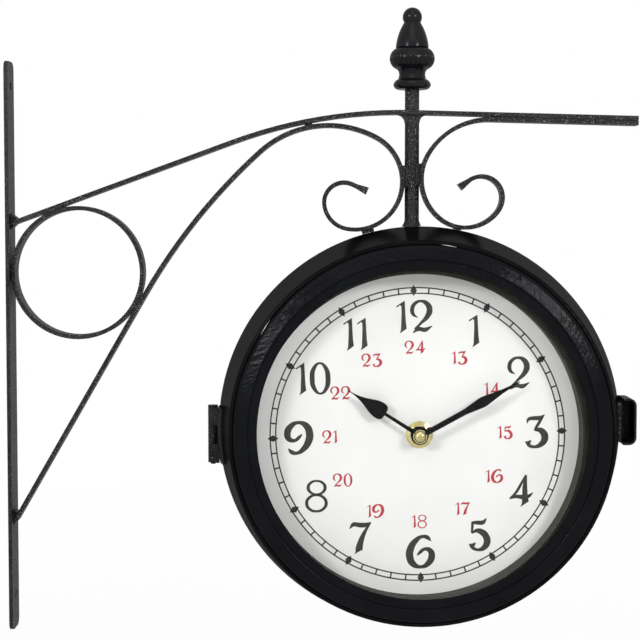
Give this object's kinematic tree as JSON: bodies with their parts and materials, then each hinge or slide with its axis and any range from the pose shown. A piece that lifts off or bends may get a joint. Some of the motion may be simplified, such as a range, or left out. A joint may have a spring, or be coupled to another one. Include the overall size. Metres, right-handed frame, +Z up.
{
  "type": "double sided station clock",
  "caption": "Round station clock with a dial on each face, hung from a scrolled wall bracket with a ring and an acorn finial; the rear half of the case swings open on a hinge.",
  "frame": {"origin": "middle between the strap's two screw holes, on the wall face", "axes": "+X away from the wall, +Z up, the front dial faces -Y"},
  "size_m": [0.3761, 0.0936, 0.373],
  "materials": {
    "bracket_paint": "semi-gloss black with a fine hammered texture",
    "case_paint": "gloss black",
    "dial_print": "printed off-white dial",
    "spacer": "matt dark olive grey",
    "glass": "clear",
    "hand_paint": "matt black",
    "brass": "lacquered",
    "zinc": "zinc plated",
    "contact": "nickel plated",
    "movement": "fine grain",
    "gear": "moulded",
    "battery": "printed sleeve, plain"
  },
  "bodies": {
    "bracket": {"wall_strap": "bracket_paint", "arm_bar": "bracket_paint", "brace_bar": "bracket_paint", "tail_bar": "bracket_paint", "corner_ring": "bracket_paint", "hanger_rod": "bracket_paint", "finial_post": "bracket_paint", "finial": "bracket_paint", "bracket_welds": "bracket_paint", "case_front": "case_paint", "hinge_leaf_front": "case_paint", "hinge_pin": "zinc", "strike_plate": "case_paint", "front_bezel": "case_paint", "front_glass": "glass", "front_spacer": "spacer", "front_dial": "dial_print", "front_dial_brackets": "zinc", "front_dial_screws": "zinc", "front_movement_case": "movement", "front_movement_lid": "movement", "front_battery": "battery", "front_battery_contacts": "contact", "front_dial_washer": "brass", "front_spindle_nut": "brass"},
    "door": {"case_rear": "case_paint", "hinge_leaf_rear": "case_paint", "catch_strap": "case_paint", "rear_bezel": "case_paint", "rear_glass": "glass", "rear_spacer": "spacer", "rear_dial": "dial_print", "rear_dial_brackets": "zinc", "rear_dial_screws": "zinc", "rear_movement_case": "movement", "rear_movement_lid": "movement", "rear_battery": "battery", "rear_battery_contacts": "contact", "rear_dial_washer": "brass", "rear_spindle_nut": "brass"},
    "front_minute": {"front_minute_arbor": "zinc", "front_minute_hand": "hand_paint", "front_cap_nut": "brass"},
    "front_hour": {"front_hour_wheel": "gear", "front_hour_hand": "hand_paint"},
    "front_motion": {"front_motion_wheel": "gear"},
    "front_setter": {"front_setting_knob": "gear"},
    "rear_minute": {"rear_minute_arbor": "zinc", "rear_minute_hand": "hand_paint", "rear_cap_nut": "brass"},
    "rear_hour": {"rear_hour_wheel": "gear", "rear_hour_hand": "hand_paint"},
    "rear_motion": {"rear_motion_wheel": "gear"},
    "rear_setter": {"rear_setting_knob": "gear"}
  },
  "joints": [
    {"name": "door_hinge", "type": "hinge", "parent": "bracket", "child": "door", "pos_m": [0.1225, 0, -0.056], "axis": [0, 0, 1], "range_deg": [0, 100]},
    {"name": "front_minute_spin", "type": "hinge", "parent": "bracket", "child": "front_minute", "pos_m": [0.2455, -0.03, -0.053], "axis": [0, 1, 0], "continuous": true},
    {"name": "front_hour_spin", "type": "hinge", "parent": "bracket", "child": "front_hour", "pos_m": [0.2455, -0.03, -0.053], "axis": [0, 1, 0], "continuous": true},
    {"name": "front_motion_spin", "type": "hinge", "parent": "bracket", "child": "front_motion", "pos_m": [0.2455, -0.03, -0.043], "axis": [0, 1, 0], "continuous": true},
    {"name": "front_setter_spin", "type": "hinge", "parent": "bracket", "child": "front_setter", "pos_m": [0.2555, -0.03, -0.043], "axis": [0, 1, 0], "continuous": true},
    {"name": "rear_minute_spin", "type": "hinge", "parent": "door", "child": "rear_minute", "pos_m": [0.2475, 0.03, -0.053], "axis": [0, -1, 0], "continuous": true},
    {"name": "rear_hour_spin", "type": "hinge", "parent": "door", "child": "rear_hour", "pos_m": [0.2475, 0.03, -0.053], "axis": [0, -1, 0], "continuous": true},
    {"name": "rear_motion_spin", "type": "hinge", "parent": "door", "child": "rear_motion", "pos_m": [0.2475, 0.03, -0.043], "axis": [0, -1, 0], "continuous": true},
    {"name": "rear_setter_spin", "type": "hinge", "parent": "door", "child": "rear_setter", "pos_m": [0.2375, 0.03, -0.043], "axis": [0, -1, 0], "continuous": true}
  ],
  "couplings": [
    {"joint": "front_hour_spin", "follows": "front_minute_spin", "ratio": 0.083333},
    {"joint": "front_motion_spin", "follows": "front_minute_spin", "ratio": -0.33333},
    {"joint": "front_setter_spin", "follows": "front_minute_spin", "ratio": 1},
    {"joint": "rear_hour_spin", "follows": "rear_minute_spin", "ratio": 0.083333},
    {"joint": "rear_motion_spin", "follows": "rear_minute_spin", "ratio": -0.33333},
    {"joint": "rear_setter_spin", "follows": "rear_minute_spin", "ratio": 1}
  ]
}
